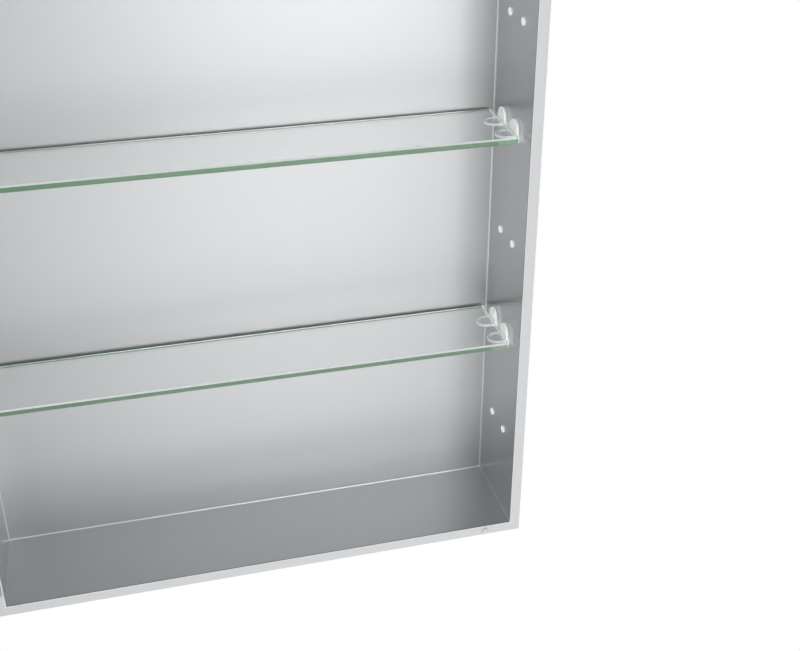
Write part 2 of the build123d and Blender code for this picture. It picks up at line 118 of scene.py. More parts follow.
def start_group(name, kind, inputs, outputs):
    """Start a node group with named inputs and outputs; returns it with both end nodes."""
    group = bpy.data.node_groups.new(name, kind)
    for label, (socket, value) in inputs.items():
        made = group.interface.new_socket(label, in_out="INPUT", socket_type=socket)
        if value is not None:
            made.default_value = value
    for label, socket in outputs.items():
        group.interface.new_socket(label, in_out="OUTPUT", socket_type=socket)
    return group, group.nodes.new("NodeGroupInput").outputs, group.nodes.new("NodeGroupOutput").inputs


# Satin grain: a blasted speckle, drawing lines along one direction, and slow clouding left by the bath.
satin_grain, grain_in, grain_out = start_group(
    "satin_grain", "ShaderNodeTree",
    {
        "Coordinates": ("NodeSocketVector", None),
        "Line Stretch": ("NodeSocketVector", (1.0, 1.0, 1.0)),
        "Roughness": ("NodeSocketFloat", 0.4),
        "Variation": ("NodeSocketFloat", 0.06),
    },
    {"Roughness": "NodeSocketFloat", "Height": "NodeSocketFloat", "Tone": "NodeSocketFloat"},
)
stretched = add(satin_grain, "ShaderNodeVectorMath", {
    0: grain_in["Coordinates"], 1: grain_in["Line Stretch"]}, operation="MULTIPLY").outputs[0]
speckle = noise(satin_grain, grain_in["Coordinates"], scale=2600.0, detail=1.0)
lines = noise(satin_grain, stretched, scale=900.0, detail=3.0, roughness=0.6)
clouds = noise(satin_grain, grain_in["Coordinates"], scale=9.0)
speckle_share = 0.6
cloud_share = 0.5
fine = blend_of(satin_grain, speckle, speckle_share, lines)
mixed = blend_of(satin_grain, clouds, cloud_share, fine)
satin_grain.links.new(
    swayed(satin_grain, grain_in["Roughness"], mixed, grain_in["Variation"]), grain_out["Roughness"])
satin_grain.links.new(fine, grain_out["Height"])
satin_grain.links.new(mixed, grain_out["Tone"])


def new_material(name):
    """A material with a node tree, and its Principled BSDF."""
    material = bpy.data.materials.new(name)
    material.use_nodes = True
    return material, material.node_tree.nodes["Principled BSDF"]


def apply_grain(material, grain_group, grain_inputs, dark, light, bump_strength, bump_depth):
    """Drive a material's colour, roughness and bump from a grain; returns the colour."""
    tree = material.node_tree
    shader = tree.nodes["Principled BSDF"]
    grain = add(tree, "ShaderNodeGroup", grain_inputs, node_tree=grain_group)
    tone = mix_colours(tree, grain.outputs["Tone"], dark, light)
    tree.links.new(tone, shader.inputs["Base Color"])
    tree.links.new(grain.outputs["Roughness"], shader.inputs["Roughness"])
    bump = add(tree, "ShaderNodeBump", {
        "Strength": bump_strength, "Distance": bump_depth, "Height": grain.outputs["Height"]})
    tree.links.new(bump.outputs["Normal"], shader.inputs["Normal"])
    return tone


def satin_metal(name, dark, light, roughness, line_stretch, metallic=1.0, variation=0.08,
                bump_strength=0.22, turn=0.0):
    """Satin metal whose tone runs between two close colours; returns it with its tone and place."""
    material, shader = new_material(name)
    tree = material.node_tree
    shader.inputs["Metallic"].default_value = metallic
    place = add(tree, "ShaderNodeTexCoord").outputs["Object"]
    if turn:
        place = add(tree, "ShaderNodeMapping", {"Vector": place, "Rotation": (0.0, 0.0, turn)}).outputs[0]
    grain_inputs = {
        "Coordinates": place, "Line Stretch": line_stretch, "Roughness": roughness, "Variation": variation}
    tone = apply_grain(material, satin_grain, grain_inputs, dark, light, bump_strength, bump_depth=0.00004)
    return material, tone, place


def finish_nodes(material, *names):
    """Give CAD nodes a material."""
    for name in names:
        node = frame["nodes"][name]
        if not node.material_slots:
            node.data.materials.append(material)
        for slot in node.material_slots:
            slot.material = material


rim_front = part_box("wall_right")[0].y
panel_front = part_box("back_panel")[0].y
arris_highlight_width = 0.0008
painted_shade_width = 0.0011
bead_highlight_width = 0.0008
bead_overlap = 0.0002
rim_tolerance = 0.00003
mitre_tolerance = 0.0001
# painted highlight colour, laid on the rim's arris, the bead beside the groove and the inside mitres
painted_highlight_metal = (0.95, 0.96, 0.97)
# painted shade colour, for the thin strip just behind the arris
painted_shade_metal = (0.24, 0.245, 0.25)
rim_metal = (0.69, 0.70, 0.71)
painted_shade_share = 0.8
highlight_and_rim_share = 0.9
rim_metallic = 0.1
rim_roughness_gain = 0.22
rim_width = 0.010
mitre_highlight_width = 0.0011
case_metallic = 1.0
inner_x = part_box("wall_right")[1].x - rim_width
inner_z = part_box("wall_top")[1].z - rim_width


def paint_edge_light(material, tone, place, mitre_highlight_share):
    """Lay a paler, less metallic rim face, a painted highlight along the arris, the bead and the mitre, and
    a painted shade strip behind the arris over a wall's tone.
    """
    tree = material.node_tree
    split = add(tree, "ShaderNodeSeparateXYZ", {0: place}).outputs
    depth = split["Y"]

    def band(along, near, far):
        """One between two places along an axis, and nought outside them."""
        inside = maths(tree, "GREATER_THAN", along, near)
        return maths(tree, "MULTIPLY", inside, maths(tree, "LESS_THAN", along, far))

    shade_start = rim_front + arris_highlight_width
    # painted highlight: bright bands on the rim's arris and on the bead at the panel's groove, and on the
    # inside mitre
    painted_highlight = maths(tree, "MAXIMUM", band(depth, rim_front + rim_tolerance, shade_start),
                   band(depth, panel_front - bead_highlight_width, panel_front + bead_overlap))
    mitre = maths(
        tree, "MULTIPLY",
        band(maths(tree, "ABSOLUTE", split["Z"]), inner_z - mitre_highlight_width, inner_z + mitre_tolerance),
        maths(tree, "LESS_THAN", maths(tree, "ABSOLUTE", split["X"]), inner_x + mitre_tolerance))
    painted_highlight = maths(tree, "MAXIMUM", painted_highlight, maths(tree, "MULTIPLY", mitre, mitre_highlight_share))
    # painted shade: a thin dark strip just behind the arris
    dark = band(depth, shade_start, shade_start + painted_shade_width)
    shaded = mix_colours(tree, maths(tree, "MULTIPLY", dark, painted_shade_share), tone, painted_shade_metal)
    highlighted = mix_colours(tree, maths(tree, "MULTIPLY", painted_highlight, highlight_and_rim_share), shaded, painted_highlight_metal)
    rim = maths(tree, "LESS_THAN", depth, rim_front + rim_tolerance)
    shader = tree.nodes["Principled BSDF"]
    tree.links.new(mix_colours(tree, maths(tree, "MULTIPLY", rim, highlight_and_rim_share), highlighted, rim_metal),
                   shader.inputs["Base Color"])
    rim_or_highlight = maths(tree, "MAXIMUM", rim, painted_highlight)
    tree.links.new(
        maths(tree, "MULTIPLY_ADD", rim_or_highlight, rim_metallic - case_metallic, case_metallic),
        shader.inputs["Metallic"])
    satin = shader.inputs["Roughness"].links[0].from_socket
    tree.links.new(maths(tree, "MULTIPLY_ADD", rim_or_highlight, rim_roughness_gain, satin), shader.inputs["Roughness"])


even_grain = (1.0, 1.0, 1.0)
upright_lines = (1.0, 1.0, 0.04)
level_lines = (0.04, 1.0, 1.0)
case_dark, case_light = (0.63, 0.64, 0.65), (0.67, 0.68, 0.69)
case_roughness = 0.29
case_upright, *upright_sockets = satin_metal(
    "case_satin_upright", case_dark, case_light, case_roughness, upright_lines, case_metallic)
case_level, *level_sockets = satin_metal(
    "case_satin_level", case_dark, case_light, case_roughness, level_lines, case_metallic)
paint_edge_light(case_upright, *upright_sockets, mitre_highlight_share=1.0)
paint_edge_light(case_level, *level_sockets, mitre_highlight_share=0.0)
finish_nodes(case_upright, "wall_left", "wall_right")
finish_nodes(case_level, "wall_top", "wall_bottom")

# Corner keys: zinc castings that slide into the walls' chambers, a large one at the front and a flat
# one at the back. Their faces keep the fine orange-peel of the die.
moulded_grain, moulded_in, moulded_out = start_group(
    "moulded_grain", "ShaderNodeTree",
    {
        "Coordinates": ("NodeSocketVector", None),
        "Grain Scale": ("NodeSocketFloat", 1500.0),
        "Roughness": ("NodeSocketFloat", 0.4),
        "Variation": ("NodeSocketFloat", 0.1),
    },
    {"Roughness": "NodeSocketFloat", "Height": "NodeSocketFloat", "Tone": "NodeSocketFloat"},
)
peel = noise(moulded_grain, moulded_in["Coordinates"], moulded_in["Grain Scale"])
flow = noise(moulded_grain, moulded_in["Coordinates"], scale=60.0, detail=3.0)
peel_share = 0.35
blend = blend_of(moulded_grain, peel, peel_share, flow)
moulded_grain.links.new(
    swayed(moulded_grain, moulded_in["Roughness"], blend, moulded_in["Variation"]),
    moulded_out["Roughness"])
moulded_grain.links.new(peel, moulded_out["Height"])
moulded_grain.links.new(blend, moulded_out["Tone"])


def moulded(name, dark, light, roughness, grain_scale, variation=0.1, bump_strength=0.15, **constants):
    """A cast or moulded material; constants set the shader's own sockets, with _ for a space."""
    material, shader = new_material(name)
    for label, value in constants.items():
        shader.inputs[label.replace("_", " ")].default_value = value
    grain_inputs = {
        "Coordinates": add(material.node_tree, "ShaderNodeTexCoord").outputs["Object"],
        "Grain Scale": grain_scale, "Roughness": roughness, "Variation": variation,
    }
    apply_grain(material, moulded_grain, grain_inputs, dark, light, bump_strength, bump_depth=0.00005)
    return material


cast_zinc = moulded(
    "cast_zinc", (0.36, 0.37, 0.38), (0.50, 0.51, 0.52), roughness=0.48, grain_scale=700.0,
    variation=0.2, bump_strength=0.5, Metallic=0.9)
finish_nodes(cast_zinc, "front_corner_keys", "rear_corner_keys", "door_corner_keys")

# Corner screws: zinc-plated pan heads with a cross recess, driven through the walls behind the back
# panel into the rear keys. One geometry tree sets every screw and rivet of the cabinet.
fastener_set, fastener_in, fastener_out = start_group(
    "fastener_set", "GeometryNodeTree",
    {
        "Geometry": ("NodeSocketGeometry", None),
        "Countersunk": ("NodeSocketBool", False),
        "Round Recess": ("NodeSocketBool", False),
        "Head Radius": ("NodeSocketFloat", 0.0028),
        "Head Height": ("NodeSocketFloat", 0.0018),
        "Shank Radius": ("NodeSocketFloat", 0.0015),
        "Shank Length": ("NodeSocketFloat", 0.008),
        "Recess Span": ("NodeSocketFloat", 0.0030),
        "Recess Width": ("NodeSocketFloat", 0.0007),
        "Recess Depth": ("NodeSocketFloat", 0.0010),
        "Seed": ("NodeSocketInt", 3),
        "Finish": ("NodeSocketMaterial", None),
    },
    {"Geometry": "NodeSocketGeometry"},
)


def vector_of(tree, x=0.0, y=0.0, z=0.0):
    """A vector made of sockets or plain numbers."""
    return add(tree, "ShaderNodeCombineXYZ", {"X": x, "Y": y, "Z": z}).outputs[0]


def moved(tree, geometry, shift):
    """Geometry shifted by a vector socket."""
    return add(tree, "GeometryNodeTransform", {"Geometry": geometry, "Translation": shift}).outputs[0]


def union(tree, *parts):
    """Parts merged into one solid."""
    merged = add(tree, "GeometryNodeMeshBoolean", operation="UNION", solver="EXACT")
    for part in parts:
        tree.links.new(part, merged.inputs["Mesh"])
    return merged.outputs[0]


def place_on_points(tree, points, part, seed):
    """Set a part on every point, its own Z along the point's facing, turned by chance about it."""
    facing = add(tree, "GeometryNodeInputNamedAttribute", {"Name": "facing"}, data_type="FLOAT_VECTOR")
    aligned = add(tree, "FunctionNodeAlignRotationToVector", {
        "Vector": facing.outputs["Attribute"]}, axis="Z")
    chance = add(tree, "FunctionNodeRandomValue", {"Seed": seed}, data_type="FLOAT")
    chance.inputs[3].default_value = math.pi
    spin = add(tree, "FunctionNodeAxisAngleToRotation", {"Angle": chance.outputs[1]})
    turned = add(tree, "FunctionNodeRotateRotation", {
        "Rotation": aligned.outputs[0], "Rotate By": spin.outputs[0]}, rotation_space="LOCAL")
    return add(tree, "GeometryNodeInstanceOnPoints", {
        "Points": points, "Instance": part, "Rotation": turned.outputs[0]}).outputs[0]


def end_tree(tree, instances, finish, outlet):
    """Realise the instances, give them their finish, and close the tree."""
    real = add(tree, "GeometryNodeRealizeInstances", {"Geometry": instances})
    coated = add(tree, "GeometryNodeSetMaterial", {"Geometry": real.outputs[0], "Material": finish})
    tree.links.new(coated.outputs[0], outlet)


tree = fastener_set
head_radius, head_height = fastener_in["Head Radius"], fastener_in["Head Height"]
shank_radius, shank_length = fastener_in["Shank Radius"], fastener_in["Shank Length"]
ball = add(tree, "GeometryNodeMeshUVSphere", {"Segments": 32, "Rings": 20, "Radius": 1.0})
ball_point = add(tree, "ShaderNodeSeparateXYZ", {0: add(tree, "GeometryNodeInputPosition").outputs[0]})
dome_steepness = 1.35
dome_height = maths(tree, "MINIMUM", 1.0, maths(
    tree, "MULTIPLY", dome_steepness, maths(tree, "MAXIMUM", 0.0, ball_point.outputs["Z"])))
dome_point = vector_of(
    tree,
    maths(tree, "MULTIPLY", ball_point.outputs["X"], head_radius),
    maths(tree, "MULTIPLY", ball_point.outputs["Y"], head_radius),
    maths(tree, "MULTIPLY", dome_height, head_height),
)
pan = add(tree, "GeometryNodeSetPosition", {"Geometry": ball.outputs["Mesh"], "Position": dome_point})
cone = add(tree, "GeometryNodeMeshCone", {
    "Vertices": 32, "Radius Top": head_radius, "Radius Bottom": shank_radius, "Depth": head_height})
sunk = moved(tree, cone.outputs["Mesh"], vector_of(tree, z=maths(tree, "MULTIPLY", head_height, -1.0)))
head = add(tree, "GeometryNodeSwitch", {
    "Switch": fastener_in["Countersunk"], "False": pan.outputs[0], "True": sunk}, input_type="GEOMETRY")
shank = add(tree, "GeometryNodeMeshCylinder", {
    "Vertices": 24, "Radius": shank_radius, "Depth": shank_length})
hung = moved(tree, shank.outputs["Mesh"], vector_of(tree, z=maths(tree, "MULTIPLY", shank_length, -0.5)))
rise = add(tree, "GeometryNodeSwitch", {
    "Switch": fastener_in["Countersunk"], "False": head_height, "True": 0.0}, input_type="FLOAT").outputs[0]
span, width, recess = fastener_in["Recess Span"], fastener_in["Recess Width"], fastener_in["Recess Depth"]
double_recess = maths(tree, "MULTIPLY", recess, 2.0)
bars = [
    add(tree, "GeometryNodeMeshCube", {"Size": vector_of(tree, *size, double_recess)}).outputs["Mesh"]
    for size in ((span, width), (width, span))
]
half_span = maths(tree, "MULTIPLY", span, 0.5)
pit = add(tree, "GeometryNodeMeshCylinder", {"Vertices": 20, "Radius": half_span, "Depth": double_recess})
drive = add(tree, "GeometryNodeSwitch", {
    "Switch": fastener_in["Round Recess"], "False": union(tree, *bars), "True": pit.outputs["Mesh"],
}, input_type="GEOMETRY")
driven = add(tree, "GeometryNodeMeshBoolean", {
    0: union(tree, head.outputs[0], hung),
    1: moved(tree, drive.outputs[0], vector_of(tree, z=rise)),
}, operation="DIFFERENCE", solver="EXACT")
end_tree(tree, place_on_points(tree, fastener_in["Geometry"], driven.outputs[0], fastener_in["Seed"]),
         fastener_in["Finish"], fastener_out["Geometry"])


same_point = 0.000002


def loose_parts(node, undo):
    """The separate solids of a CAD node, each as a list of points, in the frame that undo gives."""
    work = bmesh.new()
    work.from_mesh(frame["nodes"][node].data)
    bmesh.ops.remove_doubles(work, verts=work.verts, dist=same_point)
    # A dictionary keeps the mesh's own order, so that every run finds the parts in the same order.
    waiting = dict.fromkeys(work.verts)
    parts = []
    while waiting:
        reached = [next(iter(waiting))]
        del waiting[reached[0]]
        for vertex in reached:
            for edge in vertex.link_edges:
                other = edge.other_vert(vertex)
                if other in waiting:
                    del waiting[other]
                    reached.append(other)
        parts.append([undo @ vertex.co for vertex in reached])
    work.free()
    return parts


def head_places(node, undo=Matrix()):
    """Where each turned part of a node ends at its wide end, and which way that end faces."""
    places = []
    for points in loose_parts(node, undo):
        low = Vector(min(point[k] for point in points) for k in range(3))
        high = Vector(max(point[k] for point in points) for k in range(3))
        size, centre = high - low, (low + high) / 2
        axis = max(range(3), key=lambda k: min(
            abs(size[k] - size[other]) for other in range(3) if other != k))
        widest = max(points, key=lambda point: (
            (point - centre).length_squared - (point - centre)[axis] ** 2))
        facing = Vector((0.0, 0.0, 0.0))
        facing[axis] = 1.0 if widest[axis] > centre[axis] else -1.0
        top = centre.copy()
        top[axis] = high[axis] if facing[axis] > 0 else low[axis]
        places.append((top, facing))
    return places


def points_object(name, places, place_of=Matrix()):
    """An object of bare points, each with the direction it faces."""
    turn = place_of.to_3x3()
    mesh = bpy.data.meshes.new(name)
    mesh.from_pydata([place_of @ place for place, _ in places], [], [])
    facing = mesh.attributes.new("facing", "FLOAT_VECTOR", "POINT")
    facing.data.foreach_set("vector", [value for _, way in places for value in turn @ way])
    made = bpy.data.objects.new(name, mesh)
    bpy.context.scene.collection.objects.link(made)
    return made


def settle(name, worked, body, stands_for, sharp_degrees=35.0):
    """Make a worked object a plain mesh piece that rides on a body and stands for CAD nodes."""
    bpy.context.view_layer.update()
    graph = bpy.context.evaluated_depsgraph_get()
    mesh = bpy.data.meshes.new_from_object(worked.evaluated_get(graph), depsgraph=graph)
    bpy.data.objects.remove(worked)
    mesh.name = name
    mesh.polygons.foreach_set("use_smooth", [True] * len(mesh.polygons))
    mesh.set_sharp_from_angle(angle=math.radians(sharp_degrees))
    piece = bpy.data.objects.new(name, mesh)
    bpy.context.scene.collection.objects.link(piece)
    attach(piece, body)
    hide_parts(*stands_for)
    return piece


def run_tree(worked, tree, values):
    """Put a geometry tree on an object, with its inputs set by their sockets' identifiers."""
    modifier = worked.modifiers.new(tree.name, "NODES")
    modifier.node_group = tree
    for socket in tree.interface.items_tree:
        if socket.in_out == "INPUT" and socket.name in values:
            modifier[socket.identifier] = values[socket.name]


def set_fasteners(name, node, body, slot, finish, place_of=Matrix(), **sizes):
    """Replace a CAD node's fasteners with detailed ones in the same places."""
    values = {label.replace("_", " "): value for label, value in sizes.items()}
    values["Finish"] = finish
    lift = 0.0 if values.get("Countersunk") else values["Head Height"]
    places = [(top - facing * lift, facing) for top, facing in head_places(node, place_of.inverted())]
    worked = points_object(name + "_points", places, place_of)
    run_tree(worked, fastener_set, values)
    return settle(name, worked, body, [node], 30.0)


plated_zinc = satin_metal(
    "plated_zinc", (0.55, 0.56, 0.57), (0.66, 0.67, 0.68), roughness=0.27, line_stretch=even_grain,
    variation=0.2, bump_strength=0.3)[0]
pan_sizes = {
    "Head_Radius": 0.0028, "Head_Height": 0.0018, "Shank_Radius": 0.0015, "Recess_Span": 0.0030,
    "Recess_Width": 0.0007, "Recess_Depth": 0.0010,
}
set_fasteners("corner_screw_set", "corner_screws", "case", "plated_steel", plated_zinc,
              Shank_Length=0.008, Seed=3, **pan_sizes)

# Back panel: one satin anodised aluminium sheet that slides in the walls' groove before the last
# corner is closed. Its rolling lines run upright.
panel_metal = satin_metal(
    "panel_satin", (0.54, 0.55, 0.56), (0.58, 0.59, 0.60), roughness=0.42, line_stretch=upright_lines,
    metallic=0.85)[0]
finish_nodes(panel_metal, "back_panel")

# Hanging rail: a strip of galvanised steel behind the panel's top, riveted to it, which carries the
# cabinet on the wall's screws. The zinc shows its flat crystals.
zinc_spangle, spangle_in, spangle_out = start_group(
    "zinc_spangle", "ShaderNodeTree",
    {"Coordinates": ("NodeSocketVector", None), "Cell Scale": ("NodeSocketFloat", 140.0)},
    {"Tone": "NodeSocketFloat", "Roughness": "NodeSocketFloat", "Height": "NodeSocketFloat"},
)
crystals = add(zinc_spangle, "ShaderNodeTexVoronoi", {
    "Vector": spangle_in["Coordinates"], "Scale": spangle_in["Cell Scale"]})
crystal_tone = add(zinc_spangle, "ShaderNodeSeparateColor", {0: crystals.outputs["Color"]}).outputs[0]
zinc_spangle.links.new(crystal_tone, spangle_out["Tone"])
crystal_sheen = 0.16
smoothest_crystal = 0.32
zinc_spangle.links.new(
    maths(zinc_spangle, "MULTIPLY_ADD", crystal_tone, crystal_sheen, smoothest_crystal),
    spangle_out["Roughness"])
zinc_spangle.links.new(noise(zinc_spangle, spangle_in["Coordinates"], scale=900.0), spangle_out["Height"])
galvanised, galvanised_shader = new_material("galvanised")
galvanised_shader.inputs["Metallic"].default_value = 1.0
galvanised_place = add(galvanised.node_tree, "ShaderNodeTexCoord").outputs["Object"]
apply_grain(galvanised, zinc_spangle, {"Coordinates": galvanised_place}, (0.48, 0.49, 0.50),
            (0.66, 0.67, 0.69), bump_strength=0.2, bump_depth=0.00005)
finish_nodes(galvanised, "hanging_rail")

# Rivets: aluminium blind rivets, domed, with the broken end of the mandrel down a small hole.
rivet_metal = satin_metal(
    "rivet_metal", (0.60, 0.61, 0.62), (0.70, 0.71, 0.72), roughness=0.34, line_stretch=even_grain,
    variation=0.2)[0]
set_fasteners(
    "rivet_set", "rail_rivets", "case", "rivet_aluminium", rivet_metal,
    Head_Radius=0.0032, Head_Height=0.0010, Shank_Radius=0.0016, Shank_Length=0.0054,
    Round_Recess=True, Recess_Span=0.0017, Recess_Width=0.0005, Recess_Depth=0.0006, Seed=5)

# Spacers: strips of grey plastic glued across the back of the panel, which keep it off the wall.
spacer_plastic = moulded(
    "spacer_plastic", (0.24, 0.25, 0.26), (0.30, 0.31, 0.32), roughness=0.5, grain_scale=900.0)
finish_nodes(spacer_plastic, "spacer_lower", "spacer_centre")

# Sleeves: white nylon, pressed into drilled holes in the side walls, two at every row. The flange has
# a rounded lip, and the bore takes a support's peg. A thin skin closes those that are not in use.
sleeve_set, sleeve_in, sleeve_out = start_group(
    "sleeve_set", "GeometryNodeTree",
    {
        "Geometry": ("NodeSocketGeometry", None),
        "Bore Radius": ("NodeSocketFloat", 0.00255),
        "Flange Radius": ("NodeSocketFloat", 0.0035),
        "Flange Height": ("NodeSocketFloat", 0.0012),
        "Lip Rounding": ("NodeSocketFloat", 0.0004),
        "Barrel Radius": ("NodeSocketFloat", 0.0030),
        "Barrel Length": ("NodeSocketFloat", 0.0055),
        "Skin Depth": ("NodeSocketFloat", 0.0003),
        "Skin Thickness": ("NodeSocketFloat", 0.0005),
        "Seed": ("NodeSocketInt", 7),
        "Finish": ("NodeSocketMaterial", None),
    },
    {"Geometry": "NodeSocketGeometry"},
)


def ring(tree, inner, outer, height, centre, rounding):
    """A ring with rounded corners, from its radii, its height and its middle's place along Z."""
    middle = maths(tree, "MULTIPLY", 0.5, maths(tree, "ADD", inner, outer))
    path = add(tree, "GeometryNodeCurvePrimitiveCircle", {"Resolution": 40, "Radius": middle})
    section = add(tree, "GeometryNodeCurvePrimitiveQuadrilateral", {
        "Width": maths(tree, "SUBTRACT", outer, inner), "Height": height})
    rounded = add(tree, "GeometryNodeFilletCurve", {
        "Curve": section.outputs[0], "Radius": rounding, "Limit Radius": True, "Count": 4}, mode="POLY")
    swept = add(tree, "GeometryNodeCurveToMesh", {
        "Curve": path.outputs[0], "Profile Curve": rounded.outputs[0]})
    return moved(tree, swept.outputs[0], vector_of(tree, z=centre))


barrel_rounding = 0.00005
skin_overlap = 0.0001
flange_height, barrel_length = sleeve_in["Flange Height"], sleeve_in["Barrel Length"]
flange_ring = ring(sleeve_set, sleeve_in["Bore Radius"], sleeve_in["Flange Radius"], flange_height,
                   maths(sleeve_set, "MULTIPLY", flange_height, 0.5), sleeve_in["Lip Rounding"])
barrel_ring = ring(sleeve_set, sleeve_in["Bore Radius"], sleeve_in["Barrel Radius"], barrel_length,
                   maths(sleeve_set, "MULTIPLY", barrel_length, -0.5), barrel_rounding)
sleeve_part = add(sleeve_set, "GeometryNodeJoinGeometry")
for part in (flange_ring, barrel_ring):
    sleeve_set.links.new(part, sleeve_part.inputs[0])
skin = add(sleeve_set, "GeometryNodeMeshCylinder", {
    "Vertices": 40, "Depth": sleeve_in["Skin Thickness"],
    "Radius": maths(sleeve_set, "ADD", sleeve_in["Bore Radius"], skin_overlap)})
skin_drop = maths(sleeve_set, "ADD", sleeve_in["Skin Depth"], maths(
    sleeve_set, "MULTIPLY", sleeve_in["Skin Thickness"], 0.5))
skin_place = vector_of(sleeve_set, z=maths(sleeve_set, "SUBTRACT", flange_height, skin_drop))
closed = add(sleeve_set, "GeometryNodeInputNamedAttribute", {"Name": "closed"}, data_type="BOOLEAN")
unused = add(sleeve_set, "GeometryNodeSeparateGeometry", {
    "Geometry": sleeve_in["Geometry"], "Selection": closed.outputs["Attribute"]}, domain="POINT")
sleeve_parts = add(sleeve_set, "GeometryNodeJoinGeometry")
for points, part in (
        (sleeve_in["Geometry"], sleeve_part.outputs[0]),
        (unused.outputs["Selection"], moved(sleeve_set, skin.outputs["Mesh"], skin_place))):
    sleeve_set.links.new(
        place_on_points(sleeve_set, points, part, sleeve_in["Seed"]), sleeve_parts.inputs[0])
end_tree(sleeve_set, sleeve_parts.outputs[0], sleeve_in["Finish"], sleeve_out["Geometry"])
# The nylon's emission is painted light: a faint glow that keeps the sleeves white in shade.
sleeve_nylon = moulded(
    "sleeve_nylon", (0.93, 0.94, 0.94), (0.97, 0.97, 0.97), roughness=0.30, grain_scale=1800.0,
    bump_strength=0.1,
    Emission_Color=(0.95, 0.97, 1.0, 1.0), Emission_Strength=0.35)
sleeve_flange = 0.0012
same_row = 0.02
support_names = sorted(name for name in frame["nodes"] if name.startswith("support_"))
support_rows = {sum(corner.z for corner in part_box(name)) / 2 for name in support_names}
for side in ("left", "right"):
    sleeve_places = [
        (top - facing * sleeve_flange, facing) for top, facing in head_places(f"sleeves_{side}")]
    sleeves = points_object(f"sleeve_points_{side}", sleeve_places)
    closed_marks = sleeves.data.attributes.new("closed", "BOOLEAN", "POINT")
    closed_marks.data.foreach_set("value", [
        all(abs(place.z - row) > same_row for row in support_rows) for place, _ in sleeve_places])
    run_tree(sleeves, sleeve_set, {"Flange Height": sleeve_flange, "Finish": sleeve_nylon})
    settle(f"sleeve_row_{side}", sleeves, "case", [f"sleeves_{side}"], 60.0)

# Shelf supports: clips moulded in clear plastic, an upright leaf beside the glass and a dished ledge
# under it, on a peg that pushes into a sleeve. Every edge is soft from the mould.
support_width = 0.018
support_reach = 0.0178
leaf_thickness = 0.0022
leaf_top = 0.0160
ledge_thickness = 0.0025
dish_depth = 0.0008
ledge_rim = 0.0026
peg_radius = 0.0025
peg_length = 0.0072
peg_forward = 0.0040
peg_root = 0.001
peg_sides = 24
mould_voxel = 0.0004


def plate(work, outline, way, thickness):
    """Add a plate: a flat outline pushed along one direction."""
    face = work.faces.new([work.verts.new(point) for point in outline])
    pushed = bmesh.ops.extrude_face_region(work, geom=[face])["geom"]
    for element in pushed:
        if isinstance(element, bmesh.types.BMVert):
            element.co += Vector(way) * thickness


def half_round(radius, straight, steps=24):
    """Points of an outline that is straight to one end and half-round at the other."""
    turns = [math.pi * step / steps - math.pi / 2 for step in range(steps + 1)]
    arc = [(straight + radius * math.cos(turn), radius * math.sin(turn)) for turn in turns]
    return [(0.0, -radius), *arc, (0.0, radius)]


half_support = support_width / 2
leaf_straight = leaf_top - half_support
ledge_straight = support_reach - half_support


def clip_form(hand):
    """A moulded clip: X away from the wall, Z up from the glass, the peg to one side of its middle."""
    clip = bmesh.new()
    leaf_line = half_round(half_support, leaf_straight + ledge_thickness)
    plate(clip, [(0.0, side, height - ledge_thickness) for height, side in leaf_line],
          (1.0, 0.0, 0.0), leaf_thickness)
    outer_line = half_round(half_support, ledge_straight)
    inner_line = half_round(half_support - ledge_rim, ledge_straight)
    plate(clip, [(reach, side, -ledge_thickness) for reach, side in outer_line],
          (0.0, 0.0, 1.0), ledge_thickness - dish_depth)
    rim_corners = (
        (outer_line, -ledge_thickness), (outer_line, 0.0),
        (inner_line, 0.0), (inner_line, -ledge_thickness))
    loops = [
        [clip.verts.new((reach, side, height)) for reach, side in line] for line, height in rim_corners]
    for loop, following in zip(loops, loops[1:] + loops[:1]):
        for index in range(len(loop) - 1):
            clip.faces.new((loop[index], loop[index + 1], following[index + 1], following[index]))
    for end in (0, -1):
        clip.faces.new([loop[end] for loop in loops])
    turns = [2 * math.pi * step / peg_sides for step in range(peg_sides)]
    plate(clip, [(peg_root, hand * peg_forward + peg_radius * math.sin(turn), peg_radius * math.cos(turn))
                 for turn in turns], (-1.0, 0.0, 0.0), peg_length + peg_root)
    bmesh.ops.recalc_face_normals(clip, faces=clip.faces)
    mesh = bpy.data.meshes.new("clip_form")
    clip.to_mesh(mesh)
    clip.free()
    form = bpy.data.objects.new("clip_form", mesh)
    bpy.context.scene.collection.objects.link(form)
    merge = form.modifiers.new("merge", "REMESH")
    merge.mode = "VOXEL"
    merge.voxel_size = mould_voxel
    soften = form.modifiers.new("soften", "SMOOTH")
    soften.factor = 0.5
    soften.iterations = 4
    return form


clip_set, clip_in, clip_out = start_group(
    "clip_set", "GeometryNodeTree",
    {
        "Geometry": ("NodeSocketGeometry", None),
        "Clip": ("NodeSocketObject", None),
        "Finish": ("NodeSocketMaterial", None),
    },
    {"Geometry": "NodeSocketGeometry"},
)
clip_source = add(clip_set, "GeometryNodeObjectInfo", {"Object": clip_in["Clip"]})
clip_facing = add(clip_set, "GeometryNodeInputNamedAttribute", {"Name": "facing"}, data_type="FLOAT_VECTOR")
clip_turn = add(clip_set, "FunctionNodeAlignRotationToVector", {
    "Vector": clip_facing.outputs["Attribute"]}, axis="X", pivot_axis="Z")
clip_instances = add(clip_set, "GeometryNodeInstanceOnPoints", {
    "Points": clip_in["Geometry"], "Instance": clip_source.outputs["Geometry"],
    "Rotation": clip_turn.outputs[0]})
end_tree(clip_set, clip_instances.outputs[0], clip_in["Finish"], clip_out["Geometry"])


